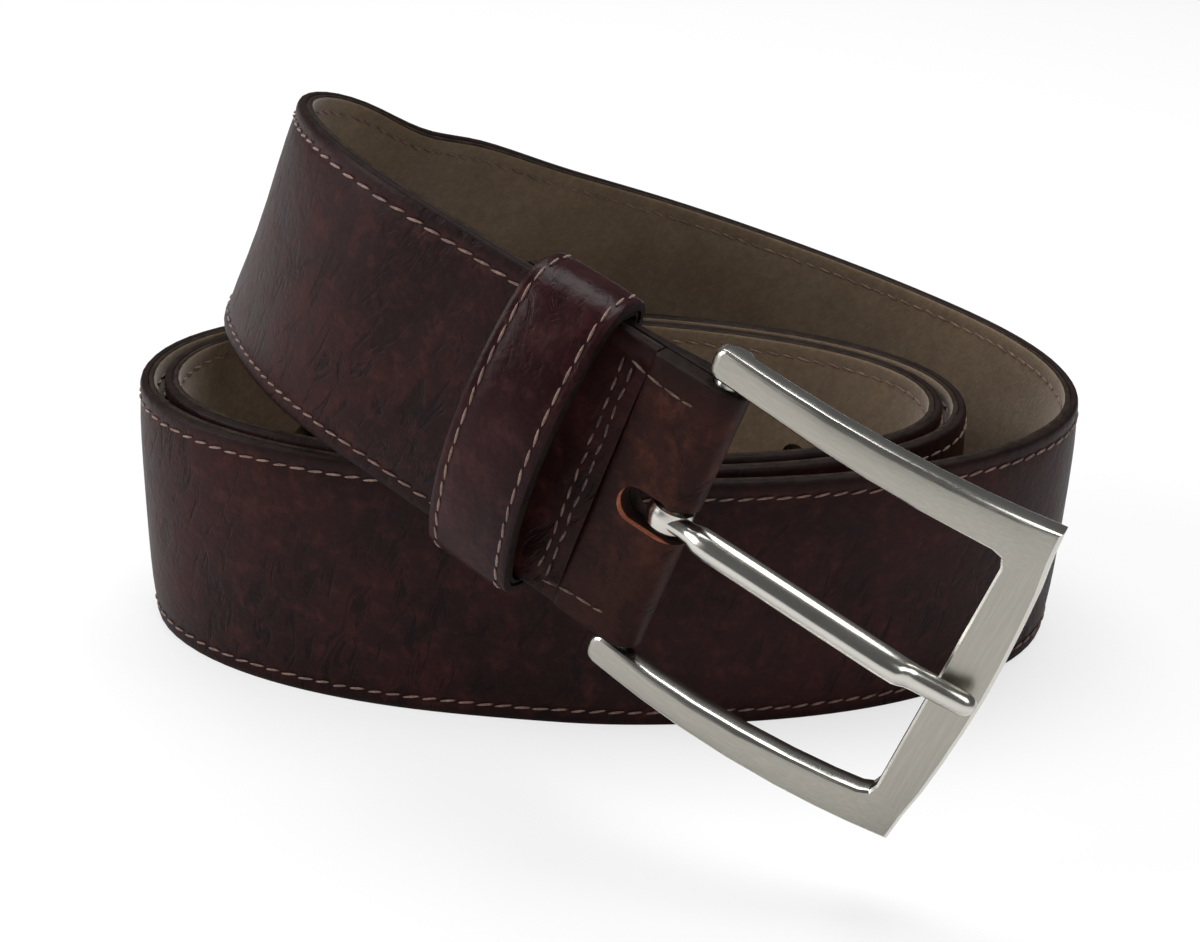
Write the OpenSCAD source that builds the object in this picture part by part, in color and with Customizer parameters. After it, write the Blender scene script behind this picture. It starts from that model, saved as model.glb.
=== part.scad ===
// A gentleman's dress belt, coiled for display: two turns lie in a flat oval coil, and the last
// turn climbs over it and brings the buckle end down in front.
// The strap stands on its edge. Lengths are in millimetres, +Z is up, and the coil rests on Z = 0.

/* [Strap] */
// Width of the strap
strap_w = 35; // [30:1:42]
// Thickness of the face leather
face_t = 1.3; // [1:0.05:1.6]
// Thickness of the filler that makes the face swell
core_t = 0.6; // [0.4:0.05:0.9]
// Thickness of the lining leather
lining_t = 1; // [0.8:0.05:1.3]
// Distance from the strap's edge to its row of stitches
stitch_inset = 2.2; // [1.8:0.1:3]
// Diameter of the sewing thread
thread_d = 0.4; // [0.25:0.05:0.5]
// Length of the pointed tip
tip_length = 22; // [15:1:30]

/* [Holes] */
// Number of holes
hole_count = 5; // [1:1:7]
// Diameter of a hole
hole_d = 3.8; // [3:0.1:4.6]
// Distance between two holes
hole_pitch = 25; // [20:1:30]
// Distance from the tip to the first hole
hole_first = 75; // [60:1:90]

/* [Coil] */
// Half the length of the coil's innermost turn
coil_half_length = 50.5; // [42:0.5:61]
// Half the depth of the coil's innermost turn
coil_half_depth = 22.8; // [18:0.1:28]
// Air between two turns of the coil
turn_gap = 0.3; // [0.2:0.05:0.8]

/* [Buckle] */
// Width of the buckle over its arms at the bar
frame_w = 43; // [41:0.5:52]
// Length of the buckle from the ends of its arms to its free edge
frame_length = 41.5; // [38:0.5:50]
// Width of the buckle's free end bar
end_bar_w = 5.4; // [4.5:0.1:9]
// Width of the buckle's arms at its corners
corner_w = 4.8; // [4.2:0.1:8]
// How far the buckle has swung in from the strap's line, in degrees
buckle_hang = 6; // [0:1:12]
// Thickness of the buckle's metal
frame_t = 3; // [2.4:0.1:4]
// How far the arms bow outwards
frame_bow = 3; // [2:0.1:4]
// Diameter of the bar that the strap and the prong turn on
bar_d = 3.2; // [2.6:0.1:4]
// Diameter of the prong's rod
prong_d = 3.3; // [2.6:0.1:4]
// Width of the slot that the prong stands in
slot_w = 6; // [5:0.1:8]
// Length of the slot from its round end to the bar
slot_length = 7; // [6:0.1:9]

/* [Keeper] */
// Width of the keeper along the strap
keeper_w = 11.5; // [9:0.5:16]
// Height of the room between the strap and the keeper's front
keeper_room = 5; // [4:0.1:6.5]
// Thickness of the keeper's outer leather
band_t = 1.1; // [0.8:0.05:1.4]
// Thickness of the keeper's inner leather
band_lining_t = 0.7; // [0.5:0.05:1]
// Distance from the bar to the keeper's near edge
keeper_from_bar = 13; // [12.5:0.5:16]

/* [Hidden] */
leather = "#3a1f20";
suede = "#a08a72";
thread = "#b08a78";
nickel = "#b9b6ae";

// The strap's build, through its thickness
glue = 0.05;
strap_t = face_t + core_t + lining_t;
core_w = strap_w - 4 * stitch_inset;
edge_drop = 0.35;
rim_drop = 0.65;
thread_lift = 0.06;
turn_pitch = strap_t + turn_gap;

// The coil: an oval spiral that grows by one thickness a turn
coil_centre = [-7.3, 14.2];
oval_power = 2 / 2.15;
turn_step = 15;
tip_angle = -105;
coil_end_angle = 630;

// The last turn, as it leaves the coil: [x, y, rise above the flat coil, lean in x, lean in y]
// The rises are for a strap 35 wide, and grow with the strap.
raised_route = [
    [4.5, -15.5, 0, 0, 0],
    [37, -10.5, 0, 0, 0],
    [64.5, 8.5, 0, 0, 0],
    [63.5, 34, 0, 0, 0],
    [43.5, 49.5, 3, 0.05, 0],
    [20, 52, 10, 0.11, -0.04],
    [0.5, 49, 17, 0.18, -0.1],
    [-13.5, 45, 22, 0.25, -0.17],
    [-22, 43, 26, 0.32, -0.24],
    [-28, 41.5, 28.5, 0.38, -0.3],
    [-35, 36, 31, 0.42, -0.36],
    [-44.5, 30.5, 36.5, 0.43, -0.36],
    [-48, 15.5, 38.5, 0.38, -0.3]];
route_w = 35;
route_half_length = 50.5;
route_half_depth = 22.8;
route_turn = 3.2;

// The bar, where the buckle end of the strap stops: its middle and the way it is turned
bar_place = [6.5, -33.5, 22.7];
bar_turn = [85.5, 17.5, -31];
flat_steps = [53, 38, 23];
strap_stop = 8;
step_back = 15;
rings_per_step = 2;

// Fits around the bar
fit = 0.05;
fold_t = 1.2;
fold_in_r = bar_d / 2 + fit;
fold_out_r = fold_in_r + fold_t;
turn_back = 27;
face_z = fold_out_r;
lining_z = face_z - strap_t;
mid_z = face_z - strap_t / 2;

// The buckle
arm_clear = 0.35;
boss_r = bar_d / 2 + 0.8;
boss_x = -boss_r;
frame_end = frame_length - boss_r;
frame_in_w = strap_w / 2 + arm_clear;
corner_r = 1.4;
end_bulge = 1.6;
bow_half = frame_length / 2;
bow_r = (bow_half * bow_half + frame_bow * frame_bow) / (2 * frame_bow);
bow_x = boss_x + bow_half;
arm_top = frame_t / 2;
eye_r = fold_in_r + 1.3;
eye_w = 3.4;
neck_d = 2.6;
tip_gap = 0.15;
prong_reach = frame_end - end_bar_w * 0.2;
prong_step = frame_end - end_bar_w - 2.5;
tip_t = 2;
tip_w = 3;

// The keeper
keeper_clear = 0.4;
keeper_in_w = strap_w + 2 * keeper_clear;
keeper_low = lining_z - fold_t - glue - keeper_clear;
keeper_high = face_z + keeper_room;
keeper_front_corner = 3.5;
keeper_back_corner = 1;
crown_r = 36;
keeper_t = band_t + glue + band_lining_t;
keeper_row_inset = 2;
staple_d = 0.9;

// Ways of turning numbers into places

// Points round a corner, from one angle to another
function arc(centre, r, from, to, count = 4) =
    [for (k = [0 : count]) let (a = from + (to - from) * k / count) centre + r * [cos(a), sin(a)]];

function signed_power(v) = sign(v) * pow(abs(v), oval_power);

function coil_point(angle) =
    let (grow = turn_pitch * (angle + 90) / 360)
    [coil_centre.x + (coil_half_length + grow) * signed_power(cos(angle)),
     coil_centre.y + (coil_half_depth + grow) * signed_power(sin(angle)),
     strap_w / 2, 0, 0];

reach = [coil_half_length / route_half_length, (coil_half_depth + 2 * turn_pitch) / (route_half_depth + 2 * route_turn)];

function on_plan(x, y) =
    [coil_centre.x + (x - coil_centre.x) * reach.x, coil_centre.y + (y - coil_centre.y) * reach.y];

function raised_point(p) =
    let (q = on_plan(p[0], p[1]))
    [q.x, q.y, strap_w / 2 + p[2] * strap_w / route_w, p[3], p[4]];

bar_plan = on_plan(bar_place.x, bar_place.y);
bar_at = [bar_plan.x, bar_plan.y, (bar_place.z + route_w / 2) * strap_w / route_w];

function turned(v) =
    let (rx = bar_turn.x, ry = bar_turn.y, rz = bar_turn.z,
         a = [v.x, v.y * cos(rx) - v.z * sin(rx), v.y * sin(rx) + v.z * cos(rx)],
         b = [a.x * cos(ry) + a.z * sin(ry), a.y, a.z * cos(ry) - a.x * sin(ry)])
    [b.x * cos(rz) - b.y * sin(rz), b.x * sin(rz) + b.y * cos(rz), b.z];

bar_lean = turned([0, 1, 0]);

function flat_point(back) =
    let (p = bar_at + turned([-back, 0, mid_z]))
    [p.x, p.y, p.z, bar_lean.x / bar_lean.z, bar_lean.y / bar_lean.z];

route = [
    for (angle = [tip_angle - turn_step : turn_step : coil_end_angle]) coil_point(angle),
    for (p = raised_route) raised_point(p),
    for (back = [each flat_steps, strap_stop, strap_stop - step_back]) flat_point(back)];

// A smooth curve through the route, with its slope
function blend(i, f) =
    (pow(1 - f, 3) * route[i] + (3 * pow(f, 3) - 6 * f * f + 4) * route[i + 1]
     + (3 * f + 3 * f * f - 3 * pow(f, 3) + 1) * route[i + 2] + pow(f, 3) * route[i + 3]) / 6;

function slope(i, f) =
    (-pow(1 - f, 2) * route[i] + (3 * f * f - 4 * f) * route[i + 1]
     + (1 + 2 * f - 3 * f * f) * route[i + 2] + f * f * route[i + 3]) / 2;

function first3(v) = [v[0], v[1], v[2]];

function unit(v) = v / norm(v);

steps = len(route) - 3;

// One ring of the strap: its middle, the way along, the way up its width and the way out
function ring(i, f) =
    let (p = blend(i, f), along = unit(first3(slope(i, f))),
         lean = unit([p[3], p[4], 1]), up = unit(lean - (lean * along) * along))
    [first3(p), along, up, cross(along, up)];

rings = [
    for (i = [0 : steps - 1], k = [0 : rings_per_step - 1]) ring(i, k / rings_per_step),
    ring(steps - 1, 1)];

distances = [for (i = 0, d = 0; i < len(rings);
                  d = d + (i + 1 < len(rings) ? norm(rings[i + 1][0] - rings[i][0]) : 0), i = i + 1) d];
places = [for (i = [0 : len(rings) - 1]) [distances[i], i]];

// The strap narrows to a blunt point at its tip
function narrowing(d) = d >= tip_length ? 1 : 0.2 + 0.8 * sqrt(1 - pow(1 - d / tip_length, 2));

// A solid with one cross-section all along the rings; the section runs the way that a clock doesn't.
// Each four-sided patch is halved the same way on both sides of a joint, so that layers stay apart.
module swept(section) {
    n = len(section);
    m = len(rings);
    points = [for (i = [0 : m - 1], s = section)
        rings[i][0] + s.x * narrowing(distances[i]) * rings[i][2] + s.y * rings[i][3]];
    sides = [for (i = [0 : m - 2], j = [0 : n - 1])
        let (k = (j + 1) % n, a = i * n + j, b = a + n, c = (i + 1) * n + k, d = i * n + k)
        each section[j].x < section[k].x ? [[a, b, c], [a, c, d]] : [[a, b, d], [b, c, d]]];
    start = [for (j = [0 : n - 1]) j];
    end = [for (j = [0 : n - 1]) m * n - 1 - j];
    polyhedron(points, concat([start], sides, [end]), convexity = 10);
}

module hole_cuts() {
    for (k = [0 : hole_count - 1]) {
        at = lookup(hole_first + k * hole_pitch, places);
        i = floor(at);
        f = at - i;
        middle = rings[i][0] * (1 - f) + rings[i + 1][0] * f;
        out = rings[i][3] * (1 - f) + rings[i + 1][3] * f;
        translate(middle) rotate([0, 0, atan2(out.y, out.x)]) rotate([0, 90, 0])
            cylinder(d = hole_d, h = strap_t + 0.2, center = true, $fn = 32);
    }
}

// Heights in the strap's cross-section
half_w = strap_w / 2;
row_w = half_w - stitch_inset;
row_flat = 0.8;
crown_w = half_w * 0.6;
seam_h = -strap_t / 2 + lining_t + core_t / 2;

function mirrored(side) = concat(side, [for (i = [len(side) - 1 : -1 : 0]) [-side[i].x, side[i].y]]);

module strap_face() {
    top = strap_t / 2;
    color(leather) difference() {
        swept(mirrored([
            [core_w / 2, top - face_t + glue / 2],
            [core_w / 2 + 1, seam_h + glue / 2],
            [half_w, seam_h + glue / 2],
            [half_w, top - rim_drop],
            [row_w + row_flat, top - edge_drop],
            [row_w - row_flat, top - edge_drop],
            [crown_w, top]]));
        hole_cuts();
    }
}

module strap_core() {
    low = -strap_t / 2 + lining_t;
    color("#6b5546") difference() {
        swept(mirrored([
            [core_w / 2 - 0.1, low + glue / 2],
            [core_w / 2 + 0.6, seam_h],
            [core_w / 2 - 0.1, low + core_t - glue / 2]]));
        hole_cuts();
    }
}

module strap_lining() {
    bottom = -strap_t / 2;
    color(suede) difference() {
        swept([for (p = mirrored([
            [core_w / 2, bottom + lining_t - glue / 2],
            [core_w / 2 + 1, seam_h - glue / 2],
            [half_w, seam_h - glue / 2],
            [half_w, bottom + rim_drop * 0.7],
            [row_w + row_flat, bottom + edge_drop],
            [row_w - row_flat, bottom + edge_drop],
            [crown_w, bottom]])) [-p.x, p.y]]);
        hole_cuts();
    }
}

// A row of thread that lies on the strap's face (side 1) or on its lining (side -1)
module thread_row(across, side) {
    base = side * (strap_t / 2 - edge_drop + thread_lift);
    half = thread_d * 0.9;
    swept([
        [across - side * half, base],
        [across + side * half, base],
        [across, base + side * thread_d * 0.7]]);
}

module outer_edge_stitching() {
    color(thread) {
        thread_row(row_w, 1);
        thread_row(-row_w, 1);
    }
}

module inner_edge_stitching() {
    color(thread) {
        thread_row(row_w, -1);
        thread_row(-row_w, -1);
    }
}

// Everything from here on stands in the bar's own frame: +X runs on along the strap to the
// buckle's free end, +Y up the bar, and +Z out of the strap's face.
module at_bar() {
    translate(bar_at) rotate(bar_turn) children();
}

// The same for the buckle and the prong, which hang a little inwards
module at_buckle() {
    at_bar() rotate([0, buckle_hang, 0]) children();
}

// Turns an outline in X and Z into a wall as wide as w
module across_strap(w) {
    rotate([90, 0, 0]) linear_extrude(height = w, center = true) children();
}

module fold_outline() {
    back = lining_z - glue;
    polygon(concat(
        [[-strap_stop, fold_in_r], [-strap_stop, face_z]],
        arc([0, 0], fold_out_r, 90, -90, 24),
        [[-strap_stop - 2, back - fold_t], [-turn_back, back - fold_t],
         [-turn_back, back], [-strap_stop - 1, back]],
        arc([0, 0], fold_in_r, -90, 90, 24)));
}

module slot_cut() {
    translate([slot_w / 2 - slot_length, 0, 0])
        cylinder(d = slot_w, h = 4 * fold_out_r, center = true, $fn = 48);
    translate([slot_w / 2 - slot_length, -slot_w / 2, -2 * fold_out_r])
        cube([slot_length + fold_out_r, slot_w, 4 * fold_out_r]);
}

module buckle_fold() {
    color(leather) at_bar() difference() {
        across_strap(strap_w - 0.4) fold_outline();
        slot_cut();
    }
}

// The two rows that sew the turned-back end to the strap
module cross_stitching() {
    pitch = 3.5;
    count = floor((strap_w - 2 * stitch_inset - 1) / pitch);
    color(thread) at_bar()
        for (row = [0, 1], k = [0 : count - 1])
            translate([-strap_stop - 1.8 - 1.6 * row, (k - (count - 1) / 2) * pitch, face_z + 0.15])
                cube([thread_d * 1.2, pitch * 0.75, 0.3], center = true);
}

// A flat tube with round corners and a crowned front, seen along the strap
module keeper_outline(grow) {
    half = keeper_in_w / 2 + grow;
    low = keeper_low - grow;
    back_r = keeper_back_corner + grow;
    front_r = keeper_front_corner + grow;
    crown = crown_r + grow;
    crown_z = keeper_high - crown_r;
    front_z = crown_z + sqrt(pow(crown - front_r, 2) - pow(half - front_r, 2));
    meet = atan2(front_z - crown_z, half - front_r);
    polygon(mirrored(concat(
        arc([half - back_r, low + back_r], back_r, -90, 0, 6),
        arc([half - front_r, front_z], front_r, 0, meet, 8),
        arc([0, crown_z], crown, meet + 2, 90, 14))));
}

module keeper_tube(inner, outer, length) {
    rotate([90, 0, 90]) linear_extrude(height = length) difference() {
        keeper_outline(outer);
        keeper_outline(inner);
    }
}

module at_keeper() {
    at_bar() translate([-keeper_from_bar - keeper_w, 0, 0]) children();
}

module keeper_lining() {
    color("#2a2320") at_keeper() translate([0.2, 0, 0]) keeper_tube(0, band_lining_t, keeper_w - 0.4);
}

module keeper_band() {
    color(leather) at_keeper() keeper_tube(band_lining_t + glue, keeper_t, keeper_w);
}

module keeper_stitching() {
    color(thread) at_keeper()
        for (x = [keeper_row_inset, keeper_w - keeper_row_inset])
            translate([x - thread_d / 2, 0, 0])
                keeper_tube(keeper_t + 0.02, keeper_t + thread_d * 0.6, thread_d);
}

// Two wire staples that close the keeper behind the strap
module keeper_staple() {
    span = 5;
    color(nickel) at_keeper()
        for (x = [keeper_w * 0.3, keeper_w * 0.7])
            translate([x, 0, keeper_low - keeper_t - staple_d / 2 - 0.02])
                rotate([90, 0, 0]) cylinder(d = staple_d, h = span, center = true, $fn = 24);
}

module frame_plan() {
    half = frame_w / 2;
    inner_end = frame_end - end_bar_w;
    inner_half = half - corner_w;
    bulge_r = (half * half + end_bulge * end_bulge) / (2 * end_bulge);
    difference() {
        intersection() {
            translate([boss_x, -half]) square([frame_length, frame_w]);
            translate([frame_end - bulge_r, 0]) circle(r = bulge_r, $fn = 240);
        }
        polygon(concat(
            [[-20, -frame_in_w], [6, -frame_in_w]],
            arc([inner_end - corner_r, -inner_half + corner_r], corner_r, -80, 0),
            arc([inner_end - corner_r, inner_half - corner_r], corner_r, 0, 80),
            [[6, frame_in_w], [-20, frame_in_w]]));
    }
}

module frame_side() {
    difference() {
        translate([bow_x, arm_top + frame_bow - bow_r]) circle(r = bow_r, $fn = 360);
        translate([bow_x, arm_top + frame_bow - frame_t - bow_r]) circle(r = bow_r, $fn = 360);
        translate([-200, -200]) square([400, 198]);
    }
}

module buckle_frame() {
    color(nickel) at_buckle() difference() {
        union() {
            intersection() {
                translate([0, 0, -5]) linear_extrude(height = 20) frame_plan();
                across_strap(frame_w + 2) frame_side();
            }
            for (y = [-1, 1])
                translate([0, y * (frame_w / 2 + frame_in_w) / 2, 0]) rotate([90, 0, 0])
                    cylinder(r = boss_r, h = frame_w / 2 - frame_in_w, center = true, $fn = 48);
        }
        rotate([90, 0, 0]) cylinder(d = bar_d, h = frame_w + 2, center = true, $fn = 48);
    }
}

module buckle_bar() {
    color(nickel) at_buckle() rotate([90, 0, 0])
        cylinder(d = bar_d, h = frame_w - 0.4, center = true, $fn = 48);
}

// Height of the buckle's outer face at a distance x from the bar
function frame_top(x) = arm_top + frame_bow - bow_r + sqrt(bow_r * bow_r - pow(x - bow_x, 2));

module prong() {
    tip_low = frame_top(frame_end - end_bar_w) + tip_gap;
    rod_z0 = eye_r - neck_d / 2;
    rod_z1 = tip_low + prong_d / 2;
    rise = atan2(rod_z1 - rod_z0, prong_step);
    rod_start = fold_out_r + 1;
    color(nickel) at_buckle() difference() {
        union() {
            rotate([90, 0, 0]) cylinder(r = eye_r, h = eye_w, center = true, $fn = 48);
            translate([0, 0, rod_z0]) rotate([0, 90 - rise, 0]) {
                cylinder(d = neck_d, h = rod_start + 1, $fn = 32);
                translate([0, 0, rod_start]) cylinder(d = prong_d, h = prong_step - rod_start, $fn = 48);
            }
            translate([prong_step - 1.5, 0, rod_z1 - 0.4]) sphere(d = prong_d * 0.9, $fn = 32);
            translate([prong_step - 1.5, -tip_w / 2, tip_low])
                cube([prong_reach - prong_step, tip_w, tip_t]);
            translate([prong_reach - 1.5, 0, tip_low]) cylinder(d = tip_w, h = tip_t, $fn = 32);
        }
        rotate([90, 0, 0]) cylinder(r = fold_in_r, h = eye_w + 2, center = true, $fn = 48);
    }
}

strap_face();
strap_core();
strap_lining();
outer_edge_stitching();
inner_edge_stitching();
buckle_fold();
cross_stitching();
keeper_band();
keeper_lining();
keeper_stitching();
keeper_staple();
buckle_frame();
buckle_bar();
prong();
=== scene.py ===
"""A coiled leather dress belt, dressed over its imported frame. Lengths in the helpers are in millimetres."""
import bisect
import math
import random

import bmesh
import bpy
from mathutils import Matrix, Vector


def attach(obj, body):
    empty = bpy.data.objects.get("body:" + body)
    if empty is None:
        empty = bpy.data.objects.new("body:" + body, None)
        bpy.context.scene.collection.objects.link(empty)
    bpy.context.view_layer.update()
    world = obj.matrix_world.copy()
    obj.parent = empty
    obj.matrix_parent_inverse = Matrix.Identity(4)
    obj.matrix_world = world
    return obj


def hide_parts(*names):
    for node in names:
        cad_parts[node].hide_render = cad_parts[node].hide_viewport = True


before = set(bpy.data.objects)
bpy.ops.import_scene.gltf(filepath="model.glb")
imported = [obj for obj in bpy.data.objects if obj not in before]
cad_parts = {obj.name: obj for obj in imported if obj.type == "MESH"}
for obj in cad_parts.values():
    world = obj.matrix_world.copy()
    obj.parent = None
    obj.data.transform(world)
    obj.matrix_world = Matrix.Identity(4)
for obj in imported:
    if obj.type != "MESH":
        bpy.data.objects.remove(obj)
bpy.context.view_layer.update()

MM = 0.001

# ---------------------------------------------------------------- the belt's own measures

STRAP_W = 35.0
STRAP_T = 2.9
TURN_PITCH = 3.2
TIP_LENGTH = 22.0
COIL_CENTRE = (-7.3, 14.2)
COIL_HALF = (50.5, 22.8)
OVAL_POWER = 2 / 2.15
RAISED_ROUTE = (
    (4.5, -15.5, 0, 0, 0), (37, -10.5, 0, 0, 0), (64.5, 8.5, 0, 0, 0), (63.5, 34, 0, 0, 0),
    (43.5, 49.5, 3, 0.05, 0), (20, 52, 10, 0.11, -0.04), (0.5, 49, 17, 0.18, -0.1),
    (-13.5, 45, 22, 0.25, -0.17), (-22, 43, 26, 0.32, -0.24), (-28, 41.5, 28.5, 0.38, -0.3),
    (-35, 36, 31, 0.42, -0.36), (-44.5, 30.5, 36.5, 0.43, -0.36), (-48, 15.5, 38.5, 0.38, -0.3))
BAR_AT = Vector((6.5, -33.5, 40.2))
BAR_TURN = (85.5, 17.5, -31)
BUCKLE_HANG = 6
FLAT_STEPS = (53, 38, 23, 8, -7)
STRAP_STOP = 8.0
BAR_R = 1.6
FOLD_IN_R = 1.65
FOLD_T = 1.2
FACE_Z = FOLD_IN_R + FOLD_T
MID_Z = FACE_Z - STRAP_T / 2
LINING_Z = FACE_Z - STRAP_T
HOLE_D = 3.8
HOLES = tuple(75 + 25 * k for k in range(5))
ROW_W = 15.3
STITCH_PITCH = 2.4

turn_x, turn_y, turn_z = (math.radians(a) for a in BAR_TURN)
BAR_ROT = (Matrix.Rotation(turn_z, 3, "Z") @ Matrix.Rotation(turn_y, 3, "Y") @ Matrix.Rotation(turn_x, 3, "X"))
bar_along = BAR_ROT @ Vector((1, 0, 0))
bar_up = BAR_ROT @ Vector((0, 1, 0))
bar_out = BAR_ROT @ Vector((0, 0, 1))
BAR_MATRIX = Matrix.Translation(BAR_AT * MM) @ BAR_ROT.to_4x4() @ Matrix.Scale(MM, 4)
BUCKLE_MATRIX = BAR_MATRIX @ Matrix.Rotation(math.radians(BUCKLE_HANG), 4, "Y")


# ---------------------------------------------------------------- the route of the strap

def signed_power(value):
    return math.copysign(abs(value) ** OVAL_POWER, value)


def coil_point(angle):
    grow = TURN_PITCH * (angle + 90) / 360
    turn = math.radians(angle)
    return (COIL_CENTRE[0] + (COIL_HALF[0] + grow) * signed_power(math.cos(turn)),
            COIL_CENTRE[1] + (COIL_HALF[1] + grow) * signed_power(math.sin(turn)), STRAP_W / 2, 0, 0)


def flat_point(back):
    place = BAR_AT + BAR_ROT @ Vector((-back, 0, MID_Z))
    lean = BAR_ROT @ Vector((0, 1, 0))
    return (*place, lean.x / lean.z, lean.y / lean.z)


ROUTE = ([coil_point(angle) for angle in range(-120, 631, 15)]
         + [(x, y, STRAP_W / 2 + rise, lean_x, lean_y) for x, y, rise, lean_x, lean_y in RAISED_ROUTE]
         + [flat_point(back) for back in FLAT_STEPS])
SPANS = len(ROUTE) - 3


def mix_points(weights, first):
    return [sum(w * ROUTE[first + k][axis] for k, w in enumerate(weights)) for axis in range(5)]


def ring(t):
    """The strap's middle at t, the way along it, up its width and out of its face."""
    i = min(int(t), SPANS - 1)
    f = t - i
    p = mix_points([(1 - f) ** 3 / 6, (3 * f ** 3 - 6 * f * f + 4) / 6,
                    (1 + 3 * f + 3 * f * f - 3 * f ** 3) / 6, f ** 3 / 6], i)
    d = mix_points([-(1 - f) ** 2 / 2, (3 * f * f - 4 * f) / 2, (1 + 2 * f - 3 * f * f) / 2, f * f / 2], i)
    along = Vector(d[:3]).normalized()
    lean = Vector((p[3], p[4], 1))
    up = (lean - along * lean.dot(along)).normalized()
    return Vector(p[:3]), along, up, along.cross(up)


FINE = 24
RUN = [0.0]
last = ring(0)[0]
for step in range(1, SPANS * FINE + 1):
    here = ring(step / FINE)[0]
    RUN.append(RUN[-1] + (here - last).length)
    last = here
STRAP_LENGTH = RUN[-1]
rings_by_distance = {}


def ring_at(distance):
    key = round(distance, 4)
    if key not in rings_by_distance:
        d = min(max(distance, 0.0), STRAP_LENGTH)
        i = min(max(bisect.bisect_right(RUN, d) - 1, 0), len(RUN) - 2)
        t = (i + (d - RUN[i]) / (RUN[i + 1] - RUN[i])) / FINE
        place, along, up, out = ring(t)
        rings_by_distance[key] = (place + along * (distance - d), up, out)
    return rings_by_distance[key]


def narrowing(d):
    return 1.0 if d >= TIP_LENGTH else 0.2 + 0.8 * math.sqrt(max(0.0, 1 - (1 - max(d, 0) / TIP_LENGTH) ** 2))


def onto_route(p):
    """A point of the flat strap (distance from the tip, across, out of the face) to its place on the belt."""
    place, up, out = ring_at(p.x)
    return (place + up * (p.y * narrowing(p.x)) + out * p.z) * MM


# ---------------------------------------------------------------- making pieces

def finished(name, bm, materials, body, stands_for, place=None, sharp=38):
    """A bmesh in millimetres becomes a piece in the belt's frame that rides on a body."""
    if place is not None:
        for v in bm.verts:
            v.co = place(v.co)
    mesh = bpy.data.meshes.new(name)
    bm.to_mesh(mesh)
    bm.free()
    return finish_mesh(name, mesh, materials, body, stands_for, sharp)


def finish_mesh(name, mesh, materials, body, stands_for, sharp=38):
    for k, material in enumerate(materials):
        if k < len(mesh.materials):
            mesh.materials[k] = material
        else:
            mesh.materials.append(material)
    for polygon in mesh.polygons:
        polygon.use_smooth = True
    mesh.set_sharp_from_angle(angle=math.radians(sharp))
    piece = bpy.data.objects.new(name, mesh)
    bpy.context.scene.collection.objects.link(piece)
    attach(piece, body)
    if stands_for:
        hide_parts(*stands_for)
    return piece


def at_bar(p):
    return BAR_MATRIX @ p


def at_buckle(p):
    return BUCKLE_MATRIX @ p


def cut(mesh, cutter_bm, cutter_slot):
    """The mesh less the cutter; the walls of the cut take the material in that slot."""
    for face in cutter_bm.faces:
        face.material_index = cutter_slot
    cutter_mesh = bpy.data.meshes.new("cutter")
    cutter_bm.to_mesh(cutter_mesh)
    cutter_bm.free()
    marks = [bpy.data.materials.new("mark%d" % k) for k in range(cutter_slot + 1)]
    for target in (mesh, cutter_mesh):
        for mark in marks:
            target.materials.append(mark)
    cutter = bpy.data.objects.new("cutter", cutter_mesh)
    body = bpy.data.objects.new("uncut", mesh)
    for o in (cutter, body):
        bpy.context.scene.collection.objects.link(o)
    boolean = body.modifiers.new("cut", "BOOLEAN")
    boolean.operation = "DIFFERENCE"
    boolean.solver = "EXACT"
    boolean.object = cutter
    boolean.material_mode = "TRANSFER"
    bpy.context.view_layer.update()
    result = bpy.data.meshes.new_from_object(body.evaluated_get(bpy.context.evaluated_depsgraph_get()))
    for o in (cutter, body):
        bpy.data.objects.remove(o)
    for used in (mesh, cutter_mesh):
        bpy.data.meshes.remove(used)
    for mark in marks:
        bpy.data.materials.remove(mark)
    return result


def closed_loop(bm, points):
    """A closed loop of edges through the points."""
    verts = [bm.verts.new(p) for p in points]
    return [bm.edges.new((verts[k - 1], verts[k])) for k in range(len(verts))]


def extruded(bm, edges, stations):
    """Draws a loop of edges out to each station in turn; a station is a function that places a start point."""
    starts = {v: v.co.copy() for e in edges for v in e.verts}
    for v, start in starts.items():
        v.co = stations[0](start)
    ends = [list(edges)]
    for station in stations[1:]:
        grown = bmesh.ops.extrude_edge_only(bm, edges=edges)["geom"]
        fresh = {}
        for v in grown:
            if isinstance(v, bmesh.types.BMVert):
                source = next(e.other_vert(v) for e in v.link_edges if e.other_vert(v) in starts)
                fresh[v] = starts[source]
        edges = [e for e in grown if isinstance(e, bmesh.types.BMEdge) and all(v in fresh for v in e.verts)]
        starts = fresh
        for v, start in starts.items():
            v.co = station(start)
    ends.append(edges)
    return ends


def capped(bm, ends):
    for edges in ends:
        bmesh.ops.contextual_create(bm, geom=edges)
    bmesh.ops.recalc_face_normals(bm, faces=bm.faces)


def map_flat(bm, scale=MM):
    """Keeps each point's place on the flat piece as its UV, in metres."""
    layer = bm.loops.layers.uv.new("flat")
    for face in bm.faces:
        for loop in face.loops:
            loop[layer].uv = (loop.vert.co.x * scale, loop.vert.co.y * scale)


# ---------------------------------------------------------------- materials

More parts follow.
